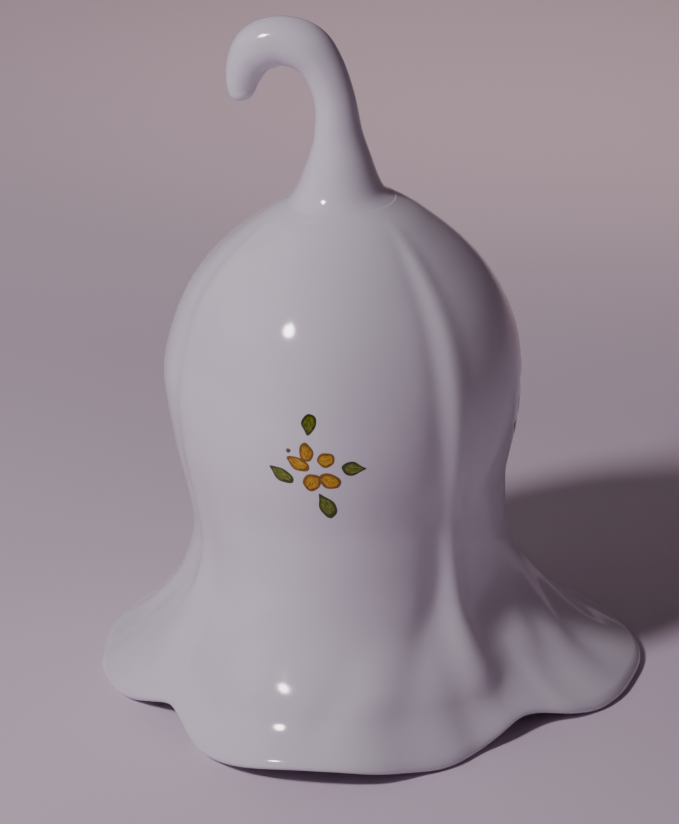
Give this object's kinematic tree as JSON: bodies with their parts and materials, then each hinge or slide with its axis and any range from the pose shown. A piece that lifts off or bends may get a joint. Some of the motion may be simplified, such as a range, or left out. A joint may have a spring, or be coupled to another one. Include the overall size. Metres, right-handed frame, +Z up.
{
  "type": "porcelain bell",
  "caption": "Flower-shaped porcelain hand bell with a ribbed dome, a ruffled skirt, a crook handle and a bead clapper hung on wire.",
  "frame": {"origin": "on the surface that the rim stands on, under the middle of the bell's bounding box", "axes": "+Z up through the dome and handle, -Y towards the front petal with the painted sprig, -X the way the crook curls"},
  "size_m": [0.0827, 0.0822, 0.1015],
  "materials": {
    "porcelain": "gloss",
    "bead_porcelain": "gloss",
    "brass_wire": "satin"
  },
  "bodies": {
    "bell": {"bell_shell": "porcelain", "crook_handle": "porcelain", "clapper_loop": "porcelain"},
    "hanger": {"hanger_wire": "brass_wire"},
    "pin": {"clapper_pin": "brass_wire"},
    "bead": {"clapper_bead": "bead_porcelain"}
  },
  "joints": [
    {"name": "clapper_swing", "type": "hinge", "parent": "bell", "child": "hanger", "pos_m": [-0.0038, 0, 0.0646], "axis": [1, 0, 0], "range_deg": [-24, 24]},
    {"name": "clapper_nod", "type": "hinge", "parent": "hanger", "child": "pin", "pos_m": [-0.0038, 0, 0.0363], "axis": [0, 1, 0], "range_deg": [-20, 20]},
    {"name": "bead_spin", "type": "hinge", "parent": "pin", "child": "bead", "pos_m": [-0.0038, 0, 0.0272], "axis": [0, 0, 1], "continuous": true}
  ]
}
